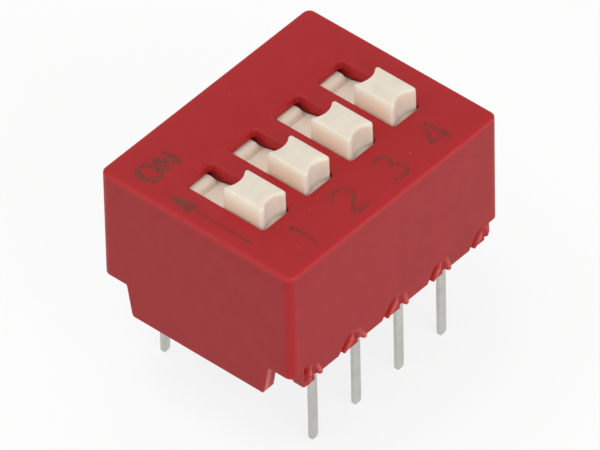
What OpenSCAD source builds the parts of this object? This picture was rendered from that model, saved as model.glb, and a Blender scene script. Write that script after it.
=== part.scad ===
// Raised-slide DIP switch, through-hole, one slide and two terminals for each switch.
// The row of switches runs along X, the slides travel along Y and ON is towards +Y.
// The origin is the middle of the footprint at the tips of the terminals, +Z is up.

/* [Layout] */
// Number of switches in the row
switches = 4; // [2:1:6]
// Distance from one switch to the next
pitch = 2.54; // [2.4:0.01:3.2]
// Distance between the two rows of terminals
row_spacing = 7.62; // [7:0.01:9.2]
// Distance from the middle of an outer switch to the end face
end_margin = 2.3; // [1.9:0.05:3]

/* [Cover] */
// Distance from the middle of a row of terminals to the long side face beside it
row_margin = 1.015; // [0.8:0.005:2]
// Height from the seating plane to the top face
cover_h = 6.8; // [5.8:0.05:9]
// Radius of the four upright corners
corner_r = 0.4; // [0.2:0.05:0.8]
// Radius of the edge round the top face
edge_r = 0.12; // [0.05:0.01:0.4]
// Thickness of the two long walls
side_wall = 0.5; // [0.4:0.05:0.6]
// Thickness of the two end walls
end_wall = 0.58; // [0.4:0.01:0.7]
// Thickness of the top over the slide channels
channel_roof = 0.38; // [0.25:0.01:0.45]
// Depth of the guide rails below the top face
rail_depth = 1; // [0.7:0.05:1.1]
// Thickness of the guide rails between the slide channels
rail_t = 0.34; // [0.2:0.01:0.4]
// Side of the square corner posts that the base butts against
post_side = 0.45; // [0.3:0.05:0.5]

/* [Feet] */
// Height of the long walls' lower edge above the seating plane
foot_h = 0.86; // [0.4:0.01:1.2]
// Height of the corner notches above the long walls' lower edge
notch_h = 0.64; // [0.3:0.01:1.2]
// Width of a foot at the seating plane
foot_w = 6.7; // [5:0.1:7.2]
// Extra width of a foot where it meets the end wall
foot_flare = 0.5; // [0:0.1:0.8]

/* [Windows and slides] */
// Length of a window along the travel
window_l = 4.05; // [3.4:0.05:4.8]
// Width of a window
window_w = 1.55; // [1.3:0.05:1.8]
// Distance of the windows' middle from the middle of the cover, towards OFF
window_shift = 0.17; // [0:0.01:0.25]
// Length of a knob
knob_l = 2.15; // [1.8:0.05:2.4]
// Height of a knob above the top face
knob_rise = 0.88; // [0.5:0.01:1.4]
// Depth of the hollow in the end of a knob towards ON
scoop_on = 0.25; // [0.1:0.01:0.4]
// Depth of the hollow in the end of a knob towards OFF
scoop_off = 0.33; // [0.1:0.01:0.4]
// Flat land left on each side of a hollow
scoop_land = 0.1; // [0.03:0.01:0.15]
// Depth of the hollow's floor below the top face
scoop_floor = 0.22; // [0.05:0.01:0.3]
// Radius of the round rib across each end of a slide
rib_r = 0.28; // [0.2:0.01:0.3]
// Distance the rib reaches under the cover past the end of the window beside it
rib_reach = 0.075; // [0:0.005:0.1]
// Depth of the valley beside the rib below the rib's top
valley_depth = 0.41; // [0.2:0.01:0.45]
// Length of the ramp between a knob's level shoulder and the valley
ramp_l = 1.15; // [0.5:0.01:1.2]
// Width of the ramps and ribs
strip_w = 1.1; // [0.8:0.05:1.4]
// Thickness of a slide's plate
plate_t = 0.3; // [0.2:0.01:0.4]
// Width of the block under a slide's plate
block_w = 1.6; // [1.2:0.05:1.8]
// Length of the block under a slide's plate
block_l = 3.2; // [2.4:0.1:3.6]
// Diameter of the stake that holds a wiper to its slide
stake_d = 0.4; // [0.3:0.05:0.5]
// Diameter of the stake's flattened head
stake_head_d = 0.7; // [0.6:0.05:0.8]
// Thickness of the stake's flattened head
stake_head_t = 0.12; // [0.08:0.01:0.15]

/* [Base] */
// Thickness of the base
base_t = 1.52; // [1.2:0.01:1.9]
// Depth of the recess for the sealing resin
seal_recess = 0.35; // [0.2:0.01:0.5]
// Thickness of the sealing resin
seal_t = 0.3; // [0.15:0.01:0.45]
// Thickness of the dam at each end of the resin
dam_t = 0.5; // [0.3:0.05:0.8]
// Height of the fences between the switches
fence_h = 1.1; // [0.5:0.1:1.3]
// Thickness of the fences
fence_t = 0.3; // [0.2:0.05:0.4]
// Length of the fences
fence_l = 5.6; // [3:0.1:7]

/* [Terminals and wipers] */
// Length of the terminals below the seating plane
tail_l = 3.75; // [2.5:0.05:5]
// Width of a terminal's tail
tail_w = 0.4; // [0.3:0.05:0.6]
// Thickness of the terminal strip
strip_t = 0.2; // [0.15:0.01:0.3]
// Bevel at the tip of a tail
tip_bevel = 0.1; // [0.05:0.01:0.12]
// Width of a terminal's contact pad
pad_w = 1; // [0.8:0.05:1.4]
// Inner radius of the bend between a tail and its pad
bend_r = 0.2; // [0.1:0.05:0.3]
// Gap between the two contact pads of a switch
pad_gap = 1.5; // [1.1:0.05:1.6]
// Distance of the pad gap's middle from the middle of the cover, towards ON
pad_gap_shift = 0.55; // [0.3:0.05:0.6]
// Thickness of a wiper's spring strip
wiper_t = 0.12; // [0.08:0.01:0.15]
// Width of a wiper
wiper_w = 0.9; // [0.8:0.05:1]
// Height of a wiper from its contact points to its flat
wiper_h = 1.05; // [0.9:0.05:1.3]
// Length of a wiper's flat
wiper_flat_l = 1; // [0.9:0.05:1.2]
// Distance between a wiper's two contact points
wiper_span = 2.8; // [2.6:0.05:3]
// Radius of the curl at a wiper's contact points
curl_r = 0.3; // [0.25:0.01:0.4]
// Width of the slit that splits each arm of a wiper
slit_w = 0.16; // [0.1:0.01:0.3]

/* [Stake marks] */
// Radius of the tool marks along the long walls' lower edge
dent_r = 0.13; // [0.08:0.01:0.16]
// Height of the tool marks
dent_h = 0.62; // [0.3:0.01:0.75]
// Distance between the lower ends of the two marks of a pair
dent_gap = 0.83; // [0.6:0.01:1]
// Lean of the marks towards each other, in degrees from upright
dent_lean = 20; // [0:1:22]

/* [Clearances] */
// Gap between a knob and the sides of its window
knob_gap = 0.05; // [0.03:0.01:0.1]
// Gap between a knob and the end of its window at each stop
stop_gap = 0.025; // [0.02:0.005:0.05]
// Gap between a slide's plate and the sides of its channel
channel_gap = 0.05; // [0.03:0.01:0.08]
// Gap between a slide and the roof of its channel
roof_gap = 0.025; // [0.02:0.005:0.05]
// Gap between a slide's plate and the long wall at each stop
plate_gap = 0.075; // [0.05:0.005:0.15]
// Gap between the base and the walls
base_gap = 0.03; // [0.02:0.01:0.05]
// Gap between a wiper and the contact pads
contact_gap = 0.03; // [0.02:0.01:0.05]

/* [Hidden] */
$fn = 48;
slack = 1; // how far a cutting shape runs past what it cuts
cover_l = (switches - 1) * pitch + 2 * end_margin;
cover_w = row_spacing + 2 * row_margin;
cavity_l = cover_l - 2 * end_wall;
cavity_w = cover_w - 2 * side_wall;
// Heights above the terminals' tips
seat_z = tail_l;
skirt_z = seat_z + foot_h;
notch_z = skirt_z + notch_h;
top_z = seat_z + cover_h;
rail_z = top_z - rail_depth;
roof_z = top_z - channel_roof;
base_z = skirt_z + base_t;
// The long walls' lower ends and the base's ends are level, inside the end walls
base_l = cavity_l - 2 * base_gap;
base_w = cavity_w - 2 * base_gap;
// A slide is drawn about the middle of its knob
channel_w = pitch - rail_t;
knob_w = window_w - 2 * knob_gap;
travel = window_l - knob_l - 2 * stop_gap;
rest_y = -window_shift - travel / 2;
shoulder_z = roof_z - roof_gap;
rib_top_z = shoulder_z - roof_gap;
valley_z = rib_top_z - valley_depth;
plate_z = valley_z - plate_t;
plate_l = cavity_w - travel - 2 * plate_gap;
// The ribs show at the ends of the window and stay on the plate
rib_y = min(travel / 2 + window_l / 2 + rib_reach, plate_l / 2 - window_shift) - rib_r;
block_z = base_z + contact_gap + wiper_h;
stake_gap = 0.02; // between a stake and the wiper it holds
curl_end = 345; // angle at which a wiper's curl stops, in degrees

// X of switch i, counted from 1
function switch_x(i) = (i - (switches + 1) / 2) * pitch;
// Terminals 1 to n stand along -Y, the rest come back along +Y, as on any DIP part
function terminal_x(i) = switch_x(i <= switches ? i : 2 * switches + 1 - i);
function terminal_side(i) = i <= switches ? -1 : 1;
// Radius of a hollow of that depth whose edges are the lands on both sides of it
function scoop_r(depth) = (pow(knob_w / 2 - scoop_land, 2) + pow(depth, 2)) / (2 * depth);

// Stands a section drawn as (y, z) upright and gives it length l along X
module along_x(l) {
  rotate([90, 0, 90]) linear_extrude(l, center = true) children();
}

// Stands a section drawn as (x, z) upright and gives it length l along Y
module along_y(l) {
  rotate([90, 0, 0]) linear_extrude(l, center = true) children();
}

// Rectangle with round corners, about the origin
module round_rectangle(l, w, r) {
  square([l - 2 * r, w], center = true);
  square([l, w - 2 * r], center = true);
  for (sx = [-1, 1], sy = [-1, 1])
    translate([sx * (l / 2 - r), sy * (w / 2 - r)]) circle(r);
}

// Upright section of width w from height z0 to z1 whose two top corners are round
module crowned_section(w, z0, z1, r) {
  translate([-w / 2, z0]) square([w, z1 - z0 - r]);
  translate([-w / 2 + r, z0]) square([w - 2 * r, z1 - z0]);
  for (s = [-1, 1]) translate([s * (w / 2 - r), z1 - r]) circle(r);
}

// Part of a ring of strip, outer radius r, from angle a0 to a1
module curled_strip(r, t, a0, a1) {
  intersection() {
    difference() {
      circle(r);
      circle(r - t);
    }
    polygon(concat([[0, 0]], [for (k = [0:4]) let (a = a0 + (a1 - a0) * k / 4) 2 * r * [cos(a), sin(a)]]));
  }
}

// ---- Cover ----

// Outside of the cover without its feet
module cover_block() {
  intersection() {
    translate([0, 0, skirt_z]) linear_extrude(cover_h - foot_h) round_rectangle(cover_l, cover_w, corner_r);
    along_x(cover_l) crowned_section(cover_w, skirt_z, top_z, edge_r);
    along_y(cover_w) crowned_section(cover_l, skirt_z, top_z, edge_r);
  }
}

// What the notches take away below each end wall
module end_notches() {
  for (s = [-1, 1])
    translate([s * (base_l / 2 + slack), 0, notch_z - slack])
      cube([2 * slack, cover_w + slack, 2 * slack], center = true);
}

// Foot under each end wall, level with the end face
module feet() {
  for (s = [-1, 1])
    translate([s * (cover_l - end_wall) / 2, 0, 0])
      along_x(end_wall)
        polygon([
          [-foot_w / 2, seat_z],
          [foot_w / 2, seat_z],
          [(foot_w + foot_flare) / 2, notch_z],
          [-(foot_w + foot_flare) / 2, notch_z]
        ]);
}

// Hollow of the cover: the chamber, the slide channels between the rails, and the four posts
module cover_hollow() {
  difference() {
    translate([-cavity_l / 2, -cavity_w / 2, seat_z - slack])
      cube([cavity_l, cavity_w, rail_z - seat_z + slack]);
    for (sx = [-1, 1], sy = [-1, 1])
      translate([sx * (cavity_l - post_side) / 2, sy * (cavity_w - post_side) / 2, base_z + cover_h / 2])
        cube([post_side, post_side, cover_h], center = true);
  }
  for (i = [1:switches])
    translate([switch_x(i) - channel_w / 2, -cavity_w / 2, rail_z - slack / 2])
      cube([channel_w, cavity_w, roof_z - rail_z + slack / 2]);
}

// Windows in the top, one over each slide
module windows() {
  for (i = [1:switches])
    translate([switch_x(i), -window_shift, top_z])
      cube([window_w, window_l, 2 * rail_depth], center = true);
}

// Pairs of leaning tool marks, midway between the terminals, where the long walls were staked over the base
module stake_dents() {
  for (i = [0:switches], s = [-1, 1], side = [-1, 1])
    let (x = switch_x(i + 0.5) + s * dent_gap / 2)
      if (abs(x) < base_l / 2 - 2 * dent_r)
        translate([x, side * cover_w / 2, skirt_z])
          rotate([0, -s * dent_lean, 0])
            translate([0, 0, -dent_h / 2]) cylinder(h = dent_h * 1.5, r = dent_r);
}

module cover() {
  color([0.69, 0.12, 0.14])
    difference() {
      union() {
        difference() {
          cover_block();
          end_notches();
        }
        feet();
      }
      cover_hollow();
      windows();
      stake_dents();
    }
}

// ---- Base, resin and terminals ----

// Terminal i: the tail, the bend and the contact pad that lies in the base's top
module terminal_shape(i) {
  tail_y = row_spacing / 2;
  bend_y = tail_y - strip_t / 2 - bend_r;
  bend_z = base_z - strip_t - bend_r;
  pad_end_y = pad_gap / 2 + terminal_side(i) * pad_gap_shift;
  neck_y = bend_y - bend_r;
  translate([terminal_x(i), 0, 0])
    mirror([0, terminal_side(i) < 0 ? 1 : 0, 0]) {
      along_x(tail_w) {
        translate([tail_y - strip_t / 2, tip_bevel]) square([strip_t, bend_z - tip_bevel]);
        translate([bend_y, bend_z]) curled_strip(bend_r + strip_t, strip_t, 0, 90);
        translate([pad_end_y, base_z - strip_t]) square([bend_y - pad_end_y, strip_t]);
      }
      translate([0, tail_y, 0])
        along_y(strip_t)
          polygon([
            [-tail_w / 2, tip_bevel],
            [-tail_w / 2 + tip_bevel, 0],
            [tail_w / 2 - tip_bevel, 0],
            [tail_w / 2, tip_bevel]
          ]);
      translate([-pad_w / 2, pad_end_y, base_z - strip_t]) cube([pad_w, neck_y - pad_end_y, strip_t]);
    }
}

module terminal(i) {
  color([0.74, 0.73, 0.7]) terminal_shape(i);
}

// Base moulded round the terminals, with a fence between the switches and a pool for the resin
module base() {
  color([0.6, 0.11, 0.13])
    difference() {
      union() {
        translate([-base_l / 2, -base_w / 2, skirt_z]) cube([base_l, base_w, base_t]);
        for (i = [1:switches - 1])
          translate([switch_x(i + 0.5) - fence_t / 2, -fence_l / 2, skirt_z])
            cube([fence_t, fence_l, base_t + fence_h]);
      }
      translate([-base_l / 2 + dam_t, -base_w / 2 - slack, skirt_z - slack])
        cube([base_l - 2 * dam_t, base_w + 2 * slack, seal_recess + slack]);
      for (i = [1:2 * switches]) terminal_shape(i);
    }
}

// Resin poured round the terminals between the dams and the long walls
module bottom_seal() {
  color([0.16, 0.12, 0.1])
    difference() {
      translate([-base_l / 2 + dam_t, -cavity_w / 2, skirt_z + seal_recess - seal_t])
        cube([base_l - 2 * dam_t, cavity_w, seal_t]);
      for (i = [1:2 * switches]) terminal_shape(i);
    }
}

// ---- Slides and wipers ----

// Side section of what stands above a slide's plate: shoulders, ramps, valleys and round ribs
module shoulder_section() {
  valley_y = rib_y - rib_r;
  ramp_y = valley_y - ramp_l;
  polygon([
    [-rib_y, plate_z + plate_t / 2],
    [rib_y, plate_z + plate_t / 2],
    [rib_y, valley_z],
    [valley_y, valley_z],
    [ramp_y, shoulder_z],
    [-ramp_y, shoulder_z],
    [-valley_y, valley_z],
    [-rib_y, valley_z]
  ]);
  for (s = [-1, 1]) translate([s * rib_y, rib_top_z - rib_r]) circle(rib_r);
}

// Upright knob with a hollow in each end that stops at a small ledge
module knob() {
  difference() {
    translate([-knob_w / 2, -knob_l / 2, plate_z + plate_t / 2])
      cube([knob_w, knob_l, top_z + knob_rise - plate_z - plate_t / 2]);
    for (end = [[1, scoop_on], [-1, scoop_off]])
      let (s = end[0], depth = end[1])
        translate([0, s * (knob_l / 2 - depth + scoop_r(depth)), top_z - scoop_floor])
          cylinder(h = knob_rise + scoop_floor + slack, r = scoop_r(depth));
  }
}

module slide(i) {
  color([0.93, 0.91, 0.86])
    translate([switch_x(i), rest_y, 0]) {
      knob();
      along_x(strip_w) shoulder_section();
      translate([-(channel_w / 2 - channel_gap), window_shift - plate_l / 2, plate_z])
        cube([channel_w - 2 * channel_gap, plate_l, plate_t]);
      translate([-block_w / 2, window_shift - block_l / 2, block_z])
        cube([block_w, block_l, plate_z + plate_t / 2 - block_z]);
      translate([0, window_shift, block_z - wiper_t - stake_gap - stake_head_t])
        cylinder(h = stake_head_t, d = stake_head_d);
      translate([0, window_shift, block_z - wiper_t - 2 * stake_gap])
        cylinder(h = wiper_t + 3 * stake_gap, d = stake_d);
    }
}

// Side section of a wiper: a flat, two sloping arms and an upturned curl at each contact point
module wiper_section() {
  flat_y = wiper_flat_l / 2;
  mid_r = curl_r - wiper_t / 2;
  run = wiper_span / 2 - flat_y;
  drop = wiper_h - wiper_t / 2 - curl_r;
  arm_l = sqrt(run * run + drop * drop - mid_r * mid_r);
  lean = atan2(drop, run) + asin(mid_r / sqrt(run * run + drop * drop));
  translate([-flat_y, wiper_h - wiper_t]) square([wiper_flat_l, wiper_t]);
  for (s = [0, 1])
    mirror([s, 0]) {
      translate([flat_y, wiper_h - wiper_t / 2]) {
        circle(d = wiper_t);
        rotate(-lean) translate([0, -wiper_t / 2]) square([arm_l, wiper_t]);
      }
      translate([wiper_span / 2, curl_r]) curled_strip(curl_r, wiper_t, 270 - lean, curl_end);
    }
}

module wiper(i) {
  arm_y = wiper_flat_l / 2 + wiper_t;
  color([0.85, 0.68, 0.36])
    translate([switch_x(i), rest_y + window_shift, base_z + contact_gap])
      difference() {
        along_x(wiper_w) wiper_section();
        translate([0, 0, -slack]) cylinder(h = wiper_h + 2 * slack, d = stake_d + 2 * stake_gap);
        for (s = [-1, 1])
          translate([0, s * (arm_y + wiper_span / 2), wiper_h / 2])
            cube([slit_w, wiper_span, wiper_h + slack], center = true);
      }
}

cover();
base();
bottom_seal();
for (i = [1:switches])
  slide(i);
for (i = [1:switches])
  wiper(i);
for (i = [1:2 * switches])
  terminal(i);
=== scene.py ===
import bmesh
import bpy
import numpy as np
from mathutils import Matrix, Vector


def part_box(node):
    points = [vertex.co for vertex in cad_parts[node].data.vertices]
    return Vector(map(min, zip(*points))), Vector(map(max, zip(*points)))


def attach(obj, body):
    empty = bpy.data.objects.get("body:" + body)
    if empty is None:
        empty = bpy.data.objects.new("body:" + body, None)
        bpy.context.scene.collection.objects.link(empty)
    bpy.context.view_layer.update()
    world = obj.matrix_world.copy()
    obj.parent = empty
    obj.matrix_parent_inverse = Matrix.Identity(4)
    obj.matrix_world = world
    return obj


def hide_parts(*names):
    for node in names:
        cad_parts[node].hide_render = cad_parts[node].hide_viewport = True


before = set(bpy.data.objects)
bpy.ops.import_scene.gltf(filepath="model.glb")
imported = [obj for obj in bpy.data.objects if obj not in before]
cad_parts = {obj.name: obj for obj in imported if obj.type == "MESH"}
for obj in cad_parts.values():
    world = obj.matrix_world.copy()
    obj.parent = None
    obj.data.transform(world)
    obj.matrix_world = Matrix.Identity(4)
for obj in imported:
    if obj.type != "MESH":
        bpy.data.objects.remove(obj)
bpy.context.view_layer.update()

# ---- Camera and studio ----
# The switch is seen from above its OFF side, past switch 1, through a long lens.
# It stands on a plain pale table under two wide soft lamps, with pale light from all round.

MM = 0.001
camera_azimuth = np.radians(-48.15)
camera_elevation = np.radians(42.95)
camera_roll = np.radians(-1.276)
camera_distance = 471.19
camera_target = np.array([0.0, 0.0, 6.0])
camera_slide = np.array([-0.0393, 0.163])
sensor_width = 36.0
lens_length = 732.36

away = np.array([
    np.sin(camera_azimuth) * np.cos(camera_elevation),
    -np.cos(camera_azimuth) * np.cos(camera_elevation),
    np.sin(camera_elevation),
])
level = np.array([np.cos(camera_azimuth), np.sin(camera_azimuth), 0.0])
upward = np.cross(away, level)
camera_right = level * np.cos(camera_roll) + upward * np.sin(camera_roll)
camera_up = -level * np.sin(camera_roll) + upward * np.cos(camera_roll)
camera_place = (camera_target + away * camera_distance
                + camera_right * camera_slide[0] + camera_up * camera_slide[1])
camera_turn = Matrix(np.stack([camera_right, camera_up, away], 1).tolist()).to_4x4()

camera_data = bpy.data.cameras.new("camera")
camera_data.sensor_width = sensor_width
camera_data.lens = lens_length
camera = bpy.data.objects.new("camera", camera_data)
camera.matrix_world = Matrix.Translation(Vector((camera_place * MM).tolist())) @ camera_turn
bpy.context.scene.collection.objects.link(camera)
bpy.context.scene.camera = camera
bpy.context.scene.view_settings.view_transform = "Standard"


class Wire:
    """A shader value in an expression: + - * and / on it add Math nodes, and node() adds any other node."""

    def __init__(self, tree, socket=None):
        self.tree, self.socket = tree, socket

    def node(self, kind, inputs, out=0, stops=None, **settings):
        """Adds a node: first its settings and a ramp's stops, then the values or wires of its sockets."""
        made = self.tree.nodes.new(kind)
        for name, value in settings.items():
            setattr(made, name, value)
        for k, (position, colour) in enumerate(stops or ()):
            ramp = made.color_ramp.elements
            stop = ramp[k] if k < 2 else ramp.new(position)
            stop.position, stop.color = position, colour
        for name, value in inputs.items():
            if isinstance(value, Wire):
                self.tree.links.new(value.socket, made.inputs[name])
            else:
                made.inputs[name].default_value = value
        return Wire(self.tree, made.outputs[out] if len(made.outputs) else None)

    def math(self, operation, first, second):
        return self.node("ShaderNodeMath", {0: first, 1: second}, operation=operation)

    def __add__(self, other):
        return self.math("ADD", self, other)

    def __sub__(self, other):
        return self.math("SUBTRACT", self, other)

    def __rsub__(self, other):
        return self.math("SUBTRACT", other, self)

    def __mul__(self, other):
        return self.math("MULTIPLY", self, other)

    def __truediv__(self, other):
        return self.math("DIVIDE", self, other)

    __radd__, __rmul__ = __add__, __mul__


def clear_tree(owner):
    """Gives a material or world an empty node tree and returns a wire to start from."""
    owner.use_nodes = True
    owner.node_tree.nodes.clear()
    return Wire(owner.node_tree)


# The world is white to the camera and in reflections, and a softer pale light on everything else
world = bpy.data.worlds.new("studio")
bpy.context.scene.world = world
sky = clear_tree(world)
world_light = 0.62
mirror_extra = 0.1
rays = "ShaderNodeLightPath"
seen = sky.node(rays, {}, "Is Camera Ray").math(
    "MAXIMUM", sky.node(rays, {}, "Is Camera Ray"), sky.node(rays, {}, "Is Transmission Ray"))
mirrored = sky.node(rays, {}, "Is Glossy Ray")
light = seen * (1 - world_light) + mirrored * mirror_extra + world_light
background = sky.node("ShaderNodeBackground", {"Color": (1.0, 0.995, 0.985, 1.0), "Strength": light})
sky.node("ShaderNodeOutputWorld", {"Surface": background})


def add_lamp(name, place, size, power):
    """A square soft lamp at a place in mm, turned to the middle of the switch."""
    data = bpy.data.lights.new(name, "AREA")
    data.size, data.energy = size * MM, power
    lamp = bpy.data.objects.new(name, data)
    towards = Vector(((camera_target - np.array(place)) * MM).tolist())
    lamp.matrix_world = (Matrix.Translation(Vector((np.array(place) * MM).tolist()))
                         @ towards.to_track_quat("-Z", "Y").to_matrix().to_4x4())
    bpy.context.scene.collection.objects.link(lamp)


add_lamp("key_lamp", (-60.0, 60.0, 260.0), 220.0, 0.256)
add_lamp("front_lamp", (-84.0, -246.0, 129.0), 200.0, 0.325)

floor_half = 600.0
floor_whitening = 0.82
floor_mesh = bpy.data.meshes.new("floor")
floor_mesh.from_pydata([(x * floor_half * MM, y * floor_half * MM, 0.0) for x, y in
                        ((-1, -1), (1, -1), (1, 1), (-1, 1))], [], [(0, 1, 2, 3)])
floor = bpy.data.objects.new("floor", floor_mesh)
bpy.context.scene.collection.objects.link(floor)
floor_finish = bpy.data.materials.new("table")
table = clear_tree(floor_finish)
watched = table.math("MAXIMUM", table.node(rays, {}, "Is Camera Ray"), table.node(rays, {}, "Is Glossy Ray"))
matt = table.node("ShaderNodeBsdfDiffuse", {"Color": (0.9, 0.9, 0.9, 1.0)})
white = table.node("ShaderNodeEmission", {"Color": (1.0, 1.0, 1.0, 1.0), "Strength": 1.0})
table.node("ShaderNodeOutputMaterial", {"Surface": table.node(
    "ShaderNodeMixShader", {0: watched * floor_whitening, 1: matt, 2: white})})
floor_mesh.materials.append(floor_finish)

# ---- Cover ----
# One box moulded in red thermoplastic, open below, with a window over each slide. A foot stands under
# each end wall, the corners are notched, and the long walls' lower edge is staked over the base in pairs
# of leaning chisel marks. Its finish is a fine satin.

cover_low, cover_high = (np.array(corner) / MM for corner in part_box("cover"))
cover_length, cover_width = (cover_high - cover_low)[:2]
cover_top, seat = cover_high[2], cover_low[2]
switches = 4
pitch = 2.54
corner_radius = 0.33
edge_radius = 0.12
rim_radius = 0.1
lower_edge_radius = 0.05
side_wall = 0.528
end_wall = 0.58
roof_depth = 0.4
brow_depth = 0.64
rail_depth = 1.0
window_size = np.array([1.56, 4.05])
window_corners = [0.1, 0.225, 0.18, 0.2]
window_y = -0.17
slot_width = window_size[0] + 0.02
channel_width = 2.2
channel_gap = 0.03
skirt_height = 0.86
notch_height = 1.5
notch_width = 0.61
notch_rounds = (0.04, 0.05)
foot_half_width = 3.35
foot_flare = 0.25
merge_step = 1.37e-4
sharp_angle = np.radians(32)


def ring(low, high, radii, steps):
    """Closed path round a rectangle from its lower left corner, counter-clockwise: straight runs joined by
    quarter circles of the four radii. Returns the points and their outward normals."""
    corners = np.array([low, (high[0], low[1]), high, (low[0], high[1])], float)
    points, normals = [], []
    for k in range(4):
        start, end = corners[k], corners[(k + 1) % 4]
        along = (end - start) / np.linalg.norm(end - start)
        inward = np.array([-along[1], along[0]])
        first, last = start + along * radii[k], end - along * radii[(k + 1) % 4]
        run = np.arange(steps[k % 2])[:, None] / steps[k % 2]
        turn = np.radians(90 * (k - 1 + np.arange(steps[2]) / steps[2]))
        arrow = np.stack([np.cos(turn), np.sin(turn)], 1)
        points += [first + (last - first) * run, last + radii[(k + 1) % 4] * (inward + arrow)]
        normals += [np.tile(-inward, (steps[k % 2], 1)), arrow]
    return np.concatenate(points), np.concatenate(normals)


def lay(path, height):
    """Points of a plan path at a height, one number or one for each point."""
    return np.column_stack([path, np.broadcast_to(height, len(path))])


def grid(points, closed=True):
    """Quads over a grid of points, rows by columns by 3; the last column joins the first if closed."""
    rows, columns = points.shape[:2]
    index = np.arange(rows * columns).reshape(rows, columns)
    if closed:
        index = np.concatenate([index, index[:, :1]], 1)
    quads = np.stack([index[:-1, :-1], index[:-1, 1:], index[1:, 1:], index[1:, :-1]], -1)
    return points.reshape(-1, 3), quads.reshape(-1, 4)


def weld(name, grids, **marks):
    """One mesh object from grids in mm. Points that round to the same merge step become one, quads that close
    up become triangles or go, and edges that turn by more than the sharp angle stay crisp. The marks are
    named values, one for each point of each grid, kept as attributes."""
    offsets = np.cumsum([0] + [len(points) for points, _ in grids])
    points = np.concatenate([points for points, _ in grids])
    quads = np.concatenate([quads + shift for (_, quads), shift in zip(grids, offsets)])
    keys = np.round(points / merge_step).astype(np.int64)
    _, first, same = np.unique(keys, axis=0, return_index=True, return_inverse=True)
    points, quads = points[first], same.reshape(-1)[quads]
    kept = quads != np.roll(quads, 1, axis=1)
    kept &= ~((quads == np.roll(quads, 2, axis=1)) & (np.arange(4) > 1))
    sizes = kept.sum(1)
    solid = sizes > 2
    kept, sizes, quads = kept[solid], sizes[solid], quads[solid]
    mesh = bpy.data.meshes.new(name)
    mesh.vertices.add(len(points))
    mesh.vertices.foreach_set("co", (points * MM).astype(np.float32).ravel())
    mesh.loops.add(int(sizes.sum()))
    mesh.loops.foreach_set("vertex_index", quads[kept].astype(np.int32))
    mesh.polygons.add(len(sizes))
    mesh.polygons.foreach_set("loop_start", np.concatenate([[0], np.cumsum(sizes)[:-1]]).astype(np.int32))
    mesh.polygons.foreach_set("loop_total", sizes.astype(np.int32))
    for title, values in marks.items():
        layer = mesh.attributes.new(title, "FLOAT", "POINT")
        layer.data.foreach_set("value", np.concatenate(values)[first].astype(np.float32))
    mesh.update(calc_edges=True)
    mesh.validate()
    work = bmesh.new()
    work.from_mesh(mesh)
    bmesh.ops.recalc_face_normals(work, faces=work.faces[:])
    work.to_mesh(mesh)
    work.free()
    mesh.polygons.foreach_set("use_smooth", np.ones(len(mesh.polygons), bool))
    mesh.set_sharp_from_angle(angle=sharp_angle)
    piece = bpy.data.objects.new(name, mesh)
    bpy.context.scene.collection.objects.link(piece)
    return piece


def chisel(across, up, marks):
    """Size of the leaning marks at places across and up a wall. Across, each falls off from its middle as a
    power of a cosine; upwards, it is fullest at its rise above the wall's lower edge and runs out, as one
    less a square, within its reach of that."""
    size = np.zeros_like(across)
    for foot, lean, half_width, reach, rise, full in marks:
        off = np.abs(across - foot - lean * up) / half_width
        left = np.clip(1 - ((np.clip(up, 0, None) - rise) / reach) ** 2, 0, 1)
        size = np.maximum(size, full * left * np.cos(np.pi / 2 * np.clip(off, 0, 1)) ** 1.3)
    return size


# Points of each ring of the cover: along a side in X, along a side in Y, and round a corner
steps = (84, 120, 6)
square = [0.0] * 4
cell_edges = (np.arange(switches + 1) - switches / 2) * pitch
cell_edges[[0, -1]] = np.array([-1, 1]) * (cover_length / 2 - edge_radius)
flat_half_width = cover_width / 2 - edge_radius
flat_corner = corner_radius - edge_radius
cavity = np.array([cover_length / 2 - end_wall, cover_width / 2 - side_wall])
roof, brow, rail = cover_top - roof_depth, cover_top - brow_depth, cover_top - rail_depth
skirt, notch = seat + skirt_height, seat + notch_height

# Each switch has a cell of the top, from the cover's side down through its window. Under the top, a slot as
# wide as the window lets the ribs pass between two brows, and a wider channel below holds the slide's plate
slot_end = cavity[1] - channel_gap
flat_share = 0.9
cover_grids, cell_paths, glow = [], [], []
# The glow is painted light: a paler red on each window's walls, strongest halfway down, fading up over the
# rim and towards the bottom
rim_glow, wall_glow = np.linspace(0, 0.2, 6), [0.8, 0.6, 0.6, 0.1]
rim_turn = np.radians(np.linspace(0, 90, len(rim_glow)))
for i in range(switches):
    middle = (i - (switches - 1) / 2) * pitch
    radii = [flat_corner * (i == 0), flat_corner * (i == switches - 1)]
    path, normal = ring((cell_edges[i], -flat_half_width), (cell_edges[i + 1], flat_half_width),
                        (radii[0], radii[1], radii[1], radii[0]), steps)
    cell_paths.append((path, normal))
    centre = np.array([middle, window_y])
    rim, out = ring(centre - window_size / 2, centre + window_size / 2, window_corners, steps)
    slot, channel = (ring((middle - width / 2, -slot_end), (middle + width / 2, slot_end), square, steps)[0]
                     for width in (slot_width, channel_width))
    start = rim + out * rim_radius
    rows = [lay(path, cover_top), lay(path + (start - path) * flat_share, cover_top)]
    for a in rim_turn:
        rows.append(lay(rim + out * rim_radius * (1 - np.sin(a)), cover_top - rim_radius * (1 - np.cos(a))))
    rows += [lay(rim, (brow + cover_top) / 2), lay(rim, roof), lay(slot, roof), lay(slot, brow)]
    rows += [lay(channel, brow), lay(channel, rail), lay(np.clip(path, -cavity, cavity), rail)]
    cover_grids.append(grid(np.stack(rows)))
    glow.append(np.repeat(np.concatenate([[0, 0], rim_glow, wall_glow, [0, 0, 0]]), len(path)))

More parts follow.
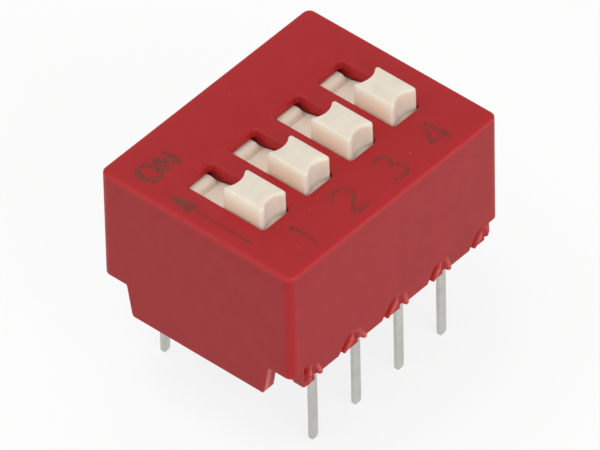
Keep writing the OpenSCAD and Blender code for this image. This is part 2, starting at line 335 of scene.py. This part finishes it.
# The outline follows the outer sides of the four cells, so that the shell welds to their flat tops
nx, ny, na = steps
ends = np.cumsum([0, nx, na, ny, na, nx, na, ny, na])
front, turn_1, right, turn_2, back, turn_3, left, turn_4 = (slice(*pair) for pair in zip(ends[:-1], ends[1:]))
order = ([(i, front) for i in range(switches)]
         + [(switches - 1, part) for part in (turn_1, right, turn_2)]
         + [(i, back) for i in reversed(range(switches))]
         + [(0, part) for part in (turn_3, left, turn_4)])
outline, outward = (np.concatenate([cell_paths[i][k][part] for i, part in order]) for k in (0, 1))
outer = outline + outward * edge_radius
inner = np.clip(outline, -cavity, cavity)
on_long_wall = np.abs(outward[:, 1]) > 0.999
on_end_wall = np.abs(outward[:, 0]) > 0.999


def step_up(past, low, high, convex, concave):
    """Height of an edge that steps up at past = 0, with a quarter circle of each radius at its corners."""
    before, after = np.clip(past + convex, 0, convex), np.clip(concave - past, 0, concave)
    below = low + convex - np.sqrt(np.clip(convex ** 2 - before ** 2, 0, None))
    above = high - concave + np.sqrt(np.clip(concave ** 2 - after ** 2, 0, None))
    return np.where(past < 0, below, above)


past_wall = np.abs(outer[:, 0]) - (cover_length / 2 - notch_width)
lower = step_up(past_wall, skirt, notch, *notch_rounds)
foot_side = np.clip((np.abs(outer[:, 1]) - foot_half_width) / foot_flare, 0, 1)
lower = np.where(on_end_wall, seat + (notch - seat) * foot_side, lower)
lower = np.where(on_end_wall | on_long_wall, lower, notch)

# Each pair of marks stands midway between two terminals, leans together at the top and pushes a wide tongue
# of the edge down. Each mark is struck a little differently, throws up a lip on its right and, where it
# reaches the edge, a burr. A mark is its foot, lean, half width, reach, rise and depth
lip_shift, lip_share, lip_height = 0.26, 0.85, 0.08
lip_rises, lip_reaches = (0.36, 0.0), (0.42, 0.74)
burr_drop, burr_shift, burr_width, tongue_width = 0.1, 0.2, 0.08, 0.42
mark_pairs = [((-0.26, 0.1, 0.13, 0.36, 0.52, 0.2), (0.4, -0.4, 0.14, 0.66, 0.1, 0.12)),
              ((-0.66, 0.75, 0.18, 0.74, 0.0, 0.26), (0.45, -0.6, 0.15, 0.6, 0.2, 0.12)),
              ((-0.66, 0.85, 0.18, 0.74, 0.0, 0.26), (0.38, -0.3, 0.16, 0.6, 0.2, 0.12)),
              ((-0.5, 0.55, 0.17, 0.7, 0.0, 0.24), (0.36, -0.3, 0.15, 0.5, 0.2, 0.12)),
              ((-0.6, 0.65, 0.15, 0.7, 0.0, 0.2), (0.28, -0.4, 0.12, 0.5, 0.1, 0.1))]
tongue_drops = (0.2, 0.06, 0.06, 0.06, 0.06)
cuts, lips, drop = [], [], np.zeros(len(outer))
for k, x in enumerate((np.arange(switches + 1) - switches / 2) * pitch):
    drop = np.maximum(drop, tongue_drops[k] * np.exp(-((outer[:, 0] - x) / tongue_width) ** 6))
    for mark, lip_rise, lip_reach in zip(mark_pairs[k], lip_rises, lip_reaches):
        foot, lean, half_width, reach, rise, full = mark
        cuts.append((x + foot, lean, half_width, reach, rise, full))
        lips.append((x + foot + lip_shift, lean, half_width * lip_share, lip_reach, lip_rise, 1.0))
        from_burr = (outer[:, 0] - x - foot - burr_shift) / burr_width
        drop = np.maximum(drop, burr_drop * (rise < 0.3) * np.exp(-from_burr ** 2))
lower = lower - np.where(on_long_wall & (past_wall < -0.05), drop, 0)

# The walls go down in few steps to just above the notches, and in many past the marks
split = notch + 0.25
mark_ceiling = 0.85
rows, strain, dent = [], [], []
for a in np.radians(np.linspace(0, 90, 8)):
    rows.append(lay(outline + outward * edge_radius * np.sin(a), cover_top - edge_radius * (1 - np.cos(a))))
for f in np.linspace(0, 1, 8)[1:]:
    rows.append(lay(outer, cover_top - edge_radius + (split - cover_top + edge_radius) * f))
for f in np.linspace(0, 1, 29)[1:]:
    rows.append(lay(outer, split + (lower + lower_edge_radius - split) * f))
for a in np.radians(np.linspace(0, 90, 4))[1:]:
    rows.append(lay(outer - outward * lower_edge_radius * (1 - np.cos(a)),
                    lower + lower_edge_radius * (1 - np.sin(a))))
for row in rows:
    up = row[:, 2] - skirt
    marked = on_long_wall & (up < mark_ceiling)
    cut = np.where(marked, chisel(row[:, 0], up, cuts), 0)
    lip = np.where(marked, chisel(row[:, 0], up, lips), 0) * np.clip(1 - cut * 5, 0, 1)
    row[:, :2] += outward * (lip_height * lip - cut)[:, None]
    strain.append(lip ** 0.8)
    dent.append(cut)
rows += [lay(inner, lower), lay(inner, rail)]
strain += [np.zeros(len(inner))] * 2
dent += [np.zeros(len(inner))] * 2
cover_grids.append(grid(np.stack(rows)))
flat_marks = [np.zeros(len(points)) for points, _ in cover_grids[:-1]]
strain, dent = flat_marks + [np.concatenate(strain)], flat_marks + [np.concatenate(dent)]
glow.append(np.zeros(len(cover_grids[-1][0])))
cover = weld("cover_shell", cover_grids, strain=strain, dent=dent, glow=glow)
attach(cover, "housing")
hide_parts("cover")


def new_finish(name, constants):
    """A material of one Principled shader with those constants on its sockets. Returns the material, the
    shader node, and the wire of a point's place on the piece in mm."""
    finish = bpy.data.materials.new(name)
    start = clear_tree(finish)
    shader = finish.node_tree.nodes.new("ShaderNodeBsdfPrincipled")
    for socket, value in constants.items():
        shader.inputs[socket].default_value = value
    start.node("ShaderNodeOutputMaterial", {"Surface": Wire(start.tree, shader.outputs[0])})
    place = start.node("ShaderNodeVectorMath", {0: start.node("ShaderNodeTexCoord", {}, "Object"),
                                                "Scale": 1 / MM}, operation="SCALE")
    return finish, shader, place


def plug_in(shader, wires):
    """Links wires to a shader's sockets by name."""
    for socket, wire in wires.items():
        wire.tree.links.new(wire.socket, shader.inputs[socket])


def noise(place, scale, detail=2.0, roughness=0.5):
    """Noise from 0 to 1 with features about 1/scale mm across."""
    return place.node("ShaderNodeTexNoise", {"Vector": place, "Scale": scale, "Detail": detail,
                                             "Roughness": roughness})


def fade(value, start, end):
    """0 where the value is below start, 1 above end, and smooth between them."""
    return value.node("ShaderNodeMapRange", {"Value": value, "From Min": start, "From Max": end},
                      interpolation_type="SMOOTHSTEP")


def marked_by(place, title):
    """Value that a piece's mesh carries under that title."""
    return place.node("ShaderNodeAttribute", {}, "Fac", attribute_name=title)


def blend(factor, low, high):
    """Colour between two colours, each a wire or three numbers."""
    colours = [c if isinstance(c, Wire) else (*c, 1.0) for c in (low, high)]
    return factor.node("ShaderNodeMix", {0: factor, 6: colours[0], 7: colours[1]}, out=2, data_type="RGBA")


def bump(height, strength, distance):
    """Normal that a height wire raises, over a distance in mm."""
    return height.node("ShaderNodeBump", {"Height": height, "Strength": strength, "Distance": distance * MM})


red, red_finish, place = new_finish("satin_red_plastic", {
    "Specular IOR Level": 0.28, "Subsurface Weight": 0.6, "Subsurface Radius": (1.0, 0.1, 0.1),
    "Subsurface Scale": 0.35 * MM})
cloud = noise(place, 1.3, 3.0)
grain = noise(place, 26.0, 2.0)
paint = blend(fade(cloud, 0.35, 0.65), (0.332, 0.0085, 0.012), (0.352, 0.0105, 0.0145))
# Painted light: the plastic is painted paler near the box's edges, where light gathers in it: the second
# smallest distance to a face says how near an edge is
inside = [place.node("ShaderNodeSeparateXYZ", {0: place}, out=k) for k in range(3)]
inside = [half - axis.node("ShaderNodeMath", {0: axis}, operation="ABSOLUTE")
          for half, axis in zip((cover_length / 2, cover_width / 2, cover_top), inside)]
nearer, farther = (place.math(choice, inside[0], inside[1]) for choice in ("MINIMUM", "MAXIMUM"))
edge_near = place.math("MAXIMUM", nearer, place.math("MINIMUM", farther, inside[2]))
paint = blend((1 - fade(edge_near, 0.0, 0.55)) * 0.45, paint, (0.43, 0.013, 0.018))
# A narrow painted highlight runs along the edges, broken by noise
edge_highlight = (1 - fade(edge_near, 0.01, 0.06)) * fade(noise(place, 11.0), 0.35, 0.6)
paint = blend(edge_highlight * 0.8, paint, (0.56, 0.07, 0.06))
# Painted light: the windows' walls are painted a paler red, a painted glow
paint = blend(marked_by(place, "glow") * 0.85, paint, (0.62, 0.02, 0.022))
# Painted light: the top is painted a little redder than the sides, for the difference the light makes between
# them
level_top = fade(place.node("ShaderNodeSeparateXYZ", {0: place}, out=2), cover_top - 0.06, cover_top - 0.01)
paint = blend(level_top * 0.44, paint, (0.43, 0.0085, 0.0125))
# Painted highlights: the walls are painted paler just under the top, and so are a foot's cut sides next to
# the outer face
under_rim = (1 - fade(inside[2], 0.05, 0.32)) * (1 - level_top)
paint = blend(under_rim * 0.55, paint, (0.5, 0.038, 0.042))
notch_depth = cover_top - notch
foot_cut = fade(inside[0], 0.03, 0.08) * fade(inside[0], 0.36, 0.22) * fade(
    inside[2], notch_depth - 0.05, notch_depth + 0.15)
paint = blend(foot_cut * 0.7, paint, (0.62, 0.16, 0.15))
# A few pale specks of dust lie on the top
speck = place.node("ShaderNodeTexVoronoi", {"Vector": place, "Scale": 1.3})
dust = fade(speck, 0.06, 0.03) * level_top * fade(noise(place, 0.9), 0.4, 0.55)
paint = blend(dust * 0.5, paint, (0.55, 0.3, 0.26))
# The lips of the marks are painted paler, and their hollows are painted a deeper red for the shade in them
strained = marked_by(place, "strain") * fade(noise(place, 6.0), 0.3, 0.5)
paint = blend(strained, paint, (0.6, 0.11, 0.08))
paint = blend(fade(marked_by(place, "dent"), 0.02, 0.1) * 0.8, paint, (0.42, 0.008, 0.012))
plug_in(red_finish, {
    "Base Color": paint,
    "Roughness": grain * 0.12 + 0.38,
    "Normal": bump(grain + noise(place, 70.0) * 0.5, 0.35, 0.006),
})
cover.data.materials.append(red)

# ---- Print ----
# The word ON, an arrow and the digits are stamped on the cover's top in one thin dark ink,
# which is worn and uneven.

ink_width, bold_width, stem_width, ink_height = 0.23, 0.29, 0.15, 0.006


def smooth_path(points, count=40):
    """Points at even steps along a chain of straight runs."""
    points = np.array(points, float)
    run = np.concatenate([[0], np.cumsum(np.linalg.norm(np.diff(points, axis=0), axis=1))])
    at = np.linspace(0, run[-1], count)
    return np.stack([np.interp(at, run, points[:, k]) for k in range(2)], 1)


def arc_path(centre, radii, start, end, count=40):
    """Points on an ellipse from one angle to another, in degrees."""
    turn = np.radians(np.linspace(start, end, count))
    return np.array(centre) + np.array(radii) * np.stack([np.cos(turn), np.sin(turn)], 1)


def stroke(path, width, height):
    """A low ridge of ink: an eight-sided flat section carried along a path, which shrinks to a point over a
    quarter circle at each end."""
    along = np.gradient(path, axis=0)
    along /= np.linalg.norm(along, axis=1)[:, None]
    across = np.stack([along[:, 1], -along[:, 0]], 1)
    run = np.concatenate([[0], np.cumsum(np.linalg.norm(np.diff(path, axis=0), axis=1))])
    left = np.minimum(run, run[-1] - run) / (width / 2)
    size = np.sqrt(np.clip(1 - (1 - np.clip(left, 0, 1)) ** 2, 0, 1))
    turn = np.radians(np.arange(8) * 45 + 22.5)
    wide = path[:, None] + across[:, None] * (size[:, None] * np.cos(turn) * width / 2)[..., None]
    tall = cover_top + size[:, None] * np.sin(turn) * height
    return grid(np.concatenate([wide, tall[..., None]], 2))


ink_strokes = {
    "ink_on": [arc_path((-4.98, 3.27), (0.4, 0.46), 90, 450, 60), smooth_path([(-4.33, 2.73), (-4.33, 3.66)]),
               smooth_path([(-4.33, 3.66), (-3.73, 2.73)]), smooth_path([(-3.73, 2.73), (-3.73, 3.66)])],
    "ink_digit_1": [smooth_path([(-4.02, -3.08), (-3.78, -2.86), (-3.78, -4.2)])],
    "ink_digit_2": [np.concatenate([arc_path((-1.27, -3.3), (0.46, 0.42), 165, -35, 30),
                                    smooth_path([(-0.9, -3.56), (-1.72, -4.26)], 16)[1:]]),
                    smooth_path([(-1.72, -4.26), (-0.8, -4.26)])],
    "ink_digit_3": [np.concatenate([arc_path((1.16, -3.2), (0.36, 0.33), 160, -80, 30),
                                    arc_path((1.16, -3.92), (0.45, 0.38), 75, -155, 34)[1:]])],
    "ink_digit_4": [smooth_path([(3.98, -2.9), (3.2, -3.92)]), smooth_path([(3.2, -3.92), (4.26, -3.92)]),
                    smooth_path([(3.98, -2.9), (3.98, -4.32)])],
}
ink, ink_finish, place = new_finish("stamped_ink", {"Specular IOR Level": 0.3})
worn = noise(place, 7.0, 3.0, 0.6)
# The ink lies thicker on the word and the arrow's head than on the arrow's stem and the digits
towards_on = place.node("ShaderNodeSeparateXYZ", {0: place}, out=1)
cover_share = 0.3 + fade(towards_on, 0.2, 0.7) * 0.2 + fade(noise(place, 5.0), 0.35, 0.65) * 0.2
plug_in(ink_finish, {
    "Base Color": blend(fade(worn, 0.38, 0.62), (0.16, 0.042, 0.03), (0.28, 0.068, 0.046)),
    "Roughness": worn * 0.2 + 0.5,
    "Alpha": fade(noise(place, 2.6, 4.0, 0.7), 0.28, 0.6) * cover_share,
})
ink_grids = {}
for name, paths in ink_strokes.items():
    width = bold_width if name == "ink_on" else ink_width
    ink_grids[name] = [stroke(path, width, ink_height) for path in paths]

# The arrow's head is a low leaf with a section of six sides: its half width grows as the square root of the
# way from its tip, and its two back corners are swept back
arrow_x, arrow_tip, arrow_base, stem_end = -5.44, 1.79, 0.71, -2.35
arrow_half_width, arrow_sweep, stem_overlap = 0.31, 0.12, 0.1
down = np.linspace(0, 1, 24)
edges = []
for s, z in ((-1, -1), (-1, 0.6), (0, 1), (1, 0.6), (1, -1), (0, -1)):
    edge = np.stack([arrow_x + np.sqrt(down) * arrow_half_width * s,
                     arrow_tip + (arrow_base - arrow_tip) * down - arrow_sweep * abs(s) * down], 1)
    edges.append(lay(edge, cover_top + ink_height * z))
head = np.stack(edges, 1)
end_cap = np.stack([head[-1], np.tile(head[-1].mean(0), (len(edges), 1))])
stem = smooth_path([(arrow_x, arrow_base + stem_overlap), (arrow_x, stem_end)], 60)
ink_grids["ink_arrow"] = [grid(head), grid(end_cap), stroke(stem, stem_width, ink_height)]
for name, grids in ink_grids.items():
    mark = weld(name, grids)
    mark.data.materials.append(ink)
    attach(mark, "housing")

# ---- Base ----
# A red plate moulded round the terminals. It closes the cover from below; its ends show in the corner
# notches, and its underside holds a shallow pool for the resin between two dams.

base_red, base_finish, place = new_finish("moulded_red_base", {"Specular IOR Level": 0.3})
flow = noise(place, 2.2, 3.0)
plug_in(base_finish, {
    "Base Color": blend(fade(flow, 0.35, 0.65), (0.34, 0.014, 0.018), (0.4, 0.018, 0.022)),
    "Roughness": noise(place, 30.0) * 0.15 + 0.45,
    "Normal": bump(noise(place, 24.0), 0.3, 0.008),
})
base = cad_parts["base"]
base.data.materials.clear()
base.data.materials.append(base_red)

# ---- Resin ----
# Dark potting resin, poured into the base's pool with the switch upside down, and cured glossy. It creeps
# a little way along the terminals' tails and the walls.

seal_low, seal_high = (np.array(corner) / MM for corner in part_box("bottom_seal"))
terminal_boxes = [[np.array(corner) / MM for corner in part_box(f"terminal_{i + 1}")]
                  for i in range(2 * switches)]
strip_half, tail_half = 0.1, 0.2
row_y = max(high[1] for _, high in terminal_boxes) - strip_half
pool_depth, ripple_height = 0.02, 0.012
creep, creep_length = 0.07, 0.16
spread_x, spread_y = np.meshgrid(np.linspace(seal_low[0], seal_high[0], 160),
                                 np.linspace(seal_low[1], seal_high[1], 130), indexing="ij")
near = np.minimum.reduce([spread_x - seal_low[0], seal_high[0] - spread_x,
                          spread_y - seal_low[1], seal_high[1] - spread_y])
for i in range(switches):
    for s in (-1, 1):
        near = np.minimum(near, np.hypot(
            np.clip(np.abs(spread_x - (i - (switches - 1) / 2) * pitch) - tail_half, 0, None),
            np.clip(np.abs(spread_y - s * row_y) - strip_half, 0, None)))
# Its underside is a gentle ripple of two sines, and creeps along each wall and tail as a decaying exponential
ripple = ripple_height * np.sin(spread_x * 1.7 + 0.6) * np.cos(spread_y * 1.3)
under = seal_low[2] + pool_depth + ripple - creep * np.exp(-near / creep_length)
face = np.stack([spread_x, spread_y, under], -1)
lid = face.copy()
lid[..., 2] = seal_high[2]


def rim_of(sheet):
    """The border of a grid of points as one closed path."""
    return np.concatenate([sheet[:-1, 0], sheet[-1, :-1], sheet[:0:-1, -1], sheet[0, :0:-1]])


pool_side = grid(np.stack([rim_of(face), rim_of(lid)]))
resin = weld("resin_pool", [grid(face, False), grid(lid, False), pool_side])
dark, dark_finish, place = new_finish("cured_resin", {"Specular IOR Level": 0.5})
plug_in(dark_finish, {
    "Base Color": blend(noise(place, 1.1, 3.0), (0.012, 0.009, 0.008), (0.03, 0.02, 0.016)),
    "Roughness": noise(place, 3.0) * 0.15 + 0.14,
    "Normal": bump(noise(place, 6.0), 0.2, 0.01),
})
resin.data.materials.append(dark)
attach(resin, "housing")
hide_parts("bottom_seal")

# ---- Terminals ----
# Eight flat strips stamped from copper alloy and plated with satin tin. Each tail comes out of the resin,
# and inside it bends over and widens to a contact pad in the base's top.

pad_half = 0.5
bend_radius = 0.3
round_off = 0.035
tip_heights = np.array([0, 0.012, 0.035, 0.07, 0.11, 0.16, 0.22])
tail_start, before_bend, after_bend = 0.27, 0.02, 0.05
tail_steps, bend_steps, pad_steps = 20, 12, 16
tin, tin_finish, place = new_finish("satin_tin", {"Metallic": 1.0})
stretched = place.node("ShaderNodeVectorMath", {0: place, 1: (40.0, 40.0, 2.0)}, operation="MULTIPLY")
drawn = noise(stretched, 1.0, 3.0)
stain = noise(place, 1.6, 3.0)
plug_in(tin_finish, {
    "Base Color": blend(fade(stain, 0.3, 0.7), (0.53, 0.52, 0.49), (0.6, 0.59, 0.56)),
    "Roughness": drawn * 0.2 + 0.32,
    "Normal": bump(drawn, 0.3, 0.01),
})
section_turn = np.radians(np.repeat([0, 90, 180, 270], 4) + np.tile([0, 30, 60, 90], 4))
section_corner = np.repeat([[1, 1], [-1, 1], [-1, -1], [1, -1]], 4, 0)
arrow = np.stack([np.cos(section_turn), np.sin(section_turn)], 1)
turn = np.radians(np.linspace(0, 90, bend_steps))
bend = np.stack([np.cos(turn), np.sin(turn)], 1)
# Each strip is a section with rounded corners carried up its tail, round a quarter circle and along its pad.
# It narrows to its tip over an ellipse, and widens to its pad in a straight taper
for i, (low, high) in enumerate(terminal_boxes):
    s = 1 if low[1] + high[1] > 0 else -1
    x = (low[0] + high[0]) / 2
    bend_top = high[2] - strip_half
    bend_centre = np.array([row_y - bend_radius, bend_top - bend_radius])
    pad_end = low[1] if s > 0 else -high[1]
    upright = np.concatenate([tip_heights, np.linspace(tail_start, bend_centre[1] - before_bend, tail_steps)])
    path = np.concatenate([
        np.stack([np.full(len(upright), row_y), upright], 1),
        bend_centre + bend_radius * bend,
        lay(np.linspace(bend_centre[0] - after_bend, pad_end, pad_steps)[:, None], bend_top)])
    normal = np.concatenate([np.tile([1.0, 0.0], (len(upright), 1)), bend,
                             np.tile([0.0, 1.0], (pad_steps, 1))])
    narrow = np.sqrt(1 - (1 - np.clip(path[:, 1] / tip_heights[-1], 0, 1)) ** 2)
    pad = np.interp(np.arange(pad_steps), [0, 4, 6, 15], [tail_half, tail_half, pad_half, pad_half])
    half = np.concatenate([np.full(len(upright) + bend_steps, tail_half), pad]) * (0.3 + 0.7 * narrow)
    thick = strip_half * (0.5 + 0.5 * narrow)
    wide = section_corner[:, 0] * (half[:, None] - round_off) + arrow[:, 0] * round_off
    deep = section_corner[:, 1] * (thick[:, None] - round_off) + arrow[:, 1] * round_off
    strip = np.stack([x + wide, s * (path[:, :1] + normal[:, :1] * deep),
                      path[:, 1:] + normal[:, 1:] * deep], -1)
    caps = [np.stack([strip[k], np.tile(strip[k].mean(0), (len(arrow), 1))]) for k in (0, -1)]
    terminal = weld(f"terminal_strip_{i + 1}", [grid(strip)] + [grid(cap) for cap in caps])
    terminal.data.materials.append(tin)
    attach(terminal, "housing")
    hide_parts(f"terminal_{i + 1}")

# ---- Slides ----
# One off-white moulding for each switch: a knob hollowed at both ends for a finger nail or a pen tip, a
# shoulder and ramp on both sides of it, and a round rib across each end. Its plate runs under the
# cover's top and always closes the window, and a block and a stake below it hold the wiper.

knob_size = np.array([1.45, 2.15])
horn_radius = 0.12
knob_top_inset, knob_top_drop = 0.075, 0.17
scoop_depths = (0.33, 0.25)
scoop_land = 0.1
ledge_depth = 0.17
ledge_drop = 0.05
root_depth = 0.95
shoulder = cover_top - 0.405
valley = cover_top - 0.73
rib_radius = 0.28
rib_offset = 2.745
rib_land = 0.12
rib_half_width = 0.575
ramp_length = 1.15
ramp_crown = 0.6
ramp_half_width = 0.755
long_edge_radius = 0.07
plate_thickness = 0.3
plate_half = np.array([1.05, 3.325])
plate_corner, plate_edge = 0.05, 0.03
block_half = np.array([0.8, 1.6])
block_rise = 0.26


def capped(stack):
    """A closed solid from a stack of closed paths: its side, and a cap at each end drawn in to the middle."""
    ends = []
    for path in (stack[0], stack[-1]):
        middle = path.mean(0)
        ends.append(grid(np.stack([path + (middle - path) * f for f in (0, 0.3, 0.6, 1)])))
    return [grid(stack)] + ends


def slab(half, top, bottom):
    """A plate about the window's middle with quarter circles at its upright corners and at its upper and
    lower edges."""
    centre = np.array([0.0, -window_y])
    path, out = ring(centre - half, centre + half, [plate_corner] * 4, (6, 12, 5))
    turn = np.radians(np.linspace(0, 90, 4))
    sine, cosine = plate_edge * (1 - np.sin(turn)), plate_edge * (1 - np.cos(turn))
    rows = [lay(path - out * inset, bottom + rise) for inset, rise in zip(sine, cosine)]
    rows += [lay(path - out * inset, top - fall) for inset, fall in zip(cosine, sine)]
    return capped(np.stack(rows))


def knob_end(depth, inset, share, counts=(9, 30)):
    """Half of a knob's outline, from its right side round one end to its left side, seen with that end up:
    a horn's arc, the hollow's arc bending the other way, and the other horn's arc, each tangent to the next.
    The whole is drawn in by the inset; share runs from a full end (0) to the full hollow (1)."""
    half = knob_size[0] / 2
    chord = half - scoop_land
    radius = (chord ** 2 + depth ** 2) / (2 * depth)
    reach = radius + horn_radius
    meet = np.arcsin((half - horn_radius) / reach)
    centre_y = knob_size[1] / 2 - depth + radius
    horn_y = centre_y - reach * np.cos(meet)
    turn = np.linspace(0, np.pi / 2 + (np.pi / 2 - meet), counts[0])
    horn = np.stack([half - horn_radius + (horn_radius - inset) * np.cos(turn),
                     horn_y + (horn_radius - inset) * np.sin(turn)], 1)
    sweep = np.linspace(meet, -meet, counts[1])[1:-1]
    arc = np.stack([(radius + inset) * np.sin(sweep), centre_y - (radius + inset) * np.cos(sweep)], 1)
    hollow = np.concatenate([horn, arc, horn[::-1] * (-1, 1)])
    turn = np.linspace(0, np.pi / 2, counts[0])
    corner = np.stack([half - horn_radius + (horn_radius - inset) * np.cos(turn),
                       knob_size[1] / 2 - horn_radius + (horn_radius - inset) * np.sin(turn)], 1)
    run = np.linspace(corner[-1, 0], -corner[-1, 0], counts[1])[1:-1]
    flat = np.stack([run, np.full_like(run, corner[-1, 1])], 1)
    return share * hollow + (1 - share) * np.concatenate([corner, flat, corner[::-1] * (-1, 1)])


def knob_outline(inset, share):
    """Whole outline of a knob: its ON end, its left side, its OFF end and its right side."""
    on, off = knob_end(scoop_depths[1], inset, share), -knob_end(scoop_depths[0], inset, share)
    sides = []
    for start, end in ((on[-1], off[0]), (off[-1], on[0])):
        sides.append(start + (end - start) * np.linspace(0, 1, 24)[1:-1, None])
    return np.concatenate([on, sides[0], off, sides[1]])


def loaf(along, profile, half_width, bottom):
    """A closed strip whose top follows a profile along it, with a quarter circle on both long top edges."""
    a = np.radians(np.linspace(0, 90, 5))
    across = np.concatenate([[-half_width], -half_width + long_edge_radius * (1 - np.cos(a)),
                             half_width - long_edge_radius * (1 - np.sin(a)), [half_width]])
    drop = long_edge_radius * np.concatenate([1 - np.sin(a), 1 - np.cos(a)])
    body = np.zeros((len(along), len(across), 3))
    body[..., 0] = across
    body[..., 1] = along[:, None]
    body[:, 1:-1, 2] = profile[:, None] - drop
    body[:, [0, -1], 2] = bottom
    ends = [np.stack([body[k], np.tile(body[k].mean(0), (len(across), 1))]) for k in (0, -1)]
    return [grid(body)] + [grid(end) for end in ends]


def fuse(name, solids):
    """One closed skin from closed solids that overlap, each a list of grids."""
    parts = [weld(name, grids) for grids in solids]
    for other in parts[1:]:
        joint = parts[0].modifiers.new("union", "BOOLEAN")
        joint.operation, joint.solver, joint.object = "UNION", "MANIFOLD", other
    graph = bpy.context.evaluated_depsgraph_get()
    skin = bpy.data.meshes.new_from_object(parts[0].evaluated_get(graph))
    for part in parts:
        old = part.data
        bpy.data.objects.remove(part)
        bpy.data.meshes.remove(old)
    skin.materials.clear()
    skin.polygons.foreach_set("use_smooth", np.ones(len(skin.polygons), bool))
    skin.set_sharp_from_angle(angle=sharp_angle)
    piece = bpy.data.objects.new(name, skin)
    bpy.context.scene.collection.objects.link(piece)
    return piece


cream, cream_finish, place = new_finish("off_white_plastic", {
    "Specular IOR Level": 0.3, "Subsurface Weight": 0.8, "Subsurface Radius": (1.0, 0.75, 0.55),
    "Subsurface Scale": 0.8 * MM})
tone = noise(place, 1.4, 3.0)
across, height = (place.node("ShaderNodeSeparateXYZ", {0: place}, out=k) for k in (0, 2))
slide_low, slide_high = (np.array(corner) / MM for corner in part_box("slide_1"))
knob_top = slide_high[2]
from_middle = pitch / 2 - place.math("PINGPONG", across, pitch / 2)
paint = blend(fade(tone, 0.35, 0.65), (0.71, 0.65, 0.545), (0.75, 0.695, 0.59))
# Painted light: a knob's long sides are painted paler near its top, for the light that comes down through the
# top, less towards the cover
flank = blend(fade(height, cover_top, cover_top + 0.7), (0.95, 0.82, 0.665), (0.93, 0.885, 0.74))
glowing = fade(from_middle, 0.67, 0.72) * fade(height, knob_top - 0.02, knob_top - 0.16) * fade(
    height, cover_top - 0.25, cover_top - 0.05)
paint = blend(glowing, paint, flank)
# Painted light: below the cover's top the slide is painted paler and pinker, for red light bounced from the
# window's walls
paint = blend(1 - fade(height, cover_top - 0.3, cover_top - 0.1), paint, (0.84, 0.695, 0.575))
# Painted shade: under the cover's top the plate is painted a darker reddish brown, for the little light that
# comes through the red plastic
shade_under_cover = fade(from_middle, window_size[0] / 2 - 0.02, window_size[0] / 2)
paint = blend(shade_under_cover, paint, (0.4, 0.1, 0.07))
plug_in(cream_finish, {
    "Base Color": paint,
    "Roughness": noise(place, 20.0) * 0.15 + 0.42,
    "Normal": bump(noise(place, 22.0, 3.0), 0.25, 0.006),
})

# All four slides are the same, worked out about the knob's middle. The knob is a stack of its outline, from
# its full root to its hollowed top, with a share of the hollow for each height above the cover
knob_rows = [lay(knob_outline(0, share), cover_top + rise) for rise, share in (
    (-root_depth, 0), (-ledge_depth - ledge_drop, 0), (-ledge_depth - 0.01, 0.7), (-ledge_depth + 0.03, 0.8),
    (-ledge_depth + 0.08, 0.84), (0.2, 0.92), (0.5, 0.98))]
for a in np.radians(np.linspace(0, 90, 8)):
    knob_rows.append(lay(knob_outline(knob_top_inset * (1 - np.cos(a)), 1.0),
                         knob_top - knob_top_drop * (1 - np.sin(a))))
top = knob_rows[-1][:, :2]
knob_rows += [lay(top * (1 - f), knob_top) for f in (0.25, 0.5, 0.75, 1)]
root_cap = np.stack([knob_rows[0], lay(top * 0, knob_rows[0][0, 2])])

# A ramp climbs from its foot beside the rib as a power of the way along it, and a rib is a quarter circle on
# each side of a short flat crown. Both profiles are smoothed a little
ramp_y = np.linspace(-1, 1, 261) * plate_half[1] - window_y
climb = np.clip((rib_offset - rib_radius - np.abs(ramp_y)) / ramp_length, 0, 1) ** ramp_crown
ramps = valley + (shoulder - valley) * climb
rib_y = np.linspace(-1, 1, 261) * (rib_offset + rib_radius + rib_land)
past = np.abs(rib_y) - rib_offset
off_rib = np.clip(np.where(past > 0, past - rib_land, -past), 0, rib_radius)
ribs = np.maximum(valley - 0.05, shoulder - rib_radius + np.sqrt(rib_radius ** 2 - off_rib ** 2))
ramps, ribs = (np.convolve(np.pad(profile, 1, mode="edge"), np.ones(3) / 3, "valid")
               for profile in (ramps, ribs))

# The stake is a round post with a domed head
turn = np.linspace(0, 2 * np.pi, 41)[:-1]
stake = np.array([(0, 0), (0.25, 0), (0.31, 0.01), (0.34, 0.03), (0.35, 0.06), (0.34, 0.09), (0.31, 0.12),
                  (0.2, 0.12), (0.2, 0.4), (0, 0.4)])
spun = np.stack([stake[:, :1] * np.cos(turn), stake[:, :1] * np.sin(turn) - window_y,
                 slide_low[2] + stake[:, 1:] + 0 * turn], -1)
plate_middle = valley - plate_thickness / 2
moulding = [[grid(np.stack(knob_rows)), grid(root_cap)],
            loaf(ramp_y, ramps, ramp_half_width, plate_middle),
            loaf(rib_y, ribs, rib_half_width, plate_middle),
            slab(plate_half, valley - 0.01, valley - plate_thickness),
            slab(block_half, plate_middle, slide_low[2] + block_rise),
            [grid(spun)]]
for i in range(switches):
    low, high = (np.array(corner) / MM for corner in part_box(f"slide_{i + 1}"))
    knob_middle = ((low[0] + high[0]) / 2, (low[1] + high[1]) / 2 + window_y, 0)
    slide = fuse(f"slide_moulding_{i + 1}", [[(points + knob_middle, quads) for points, quads in grids]
                                             for grids in moulding])
    slide.data.materials.append(cream)
    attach(slide, f"slider_{i + 1}")
    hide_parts(f"slide_{i + 1}")

# ---- Wipers ----
# A gold-plated spring strip on the underside of each slide. Its two split arms slide over the contact
# pads and join them at ON.

gold, gold_finish, place = new_finish("gold_plate", {"Metallic": 1.0})
rub = noise(place, 14.0, 3.0)
plug_in(gold_finish, {
    "Base Color": blend(fade(rub, 0.35, 0.65), (0.72, 0.5, 0.2), (0.85, 0.63, 0.29)),
    "Roughness": rub * 0.15 + 0.2,
})
for i in range(switches):
    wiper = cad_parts[f"wiper_{i + 1}"]
    wiper.data.materials.clear()
    wiper.data.materials.append(gold)
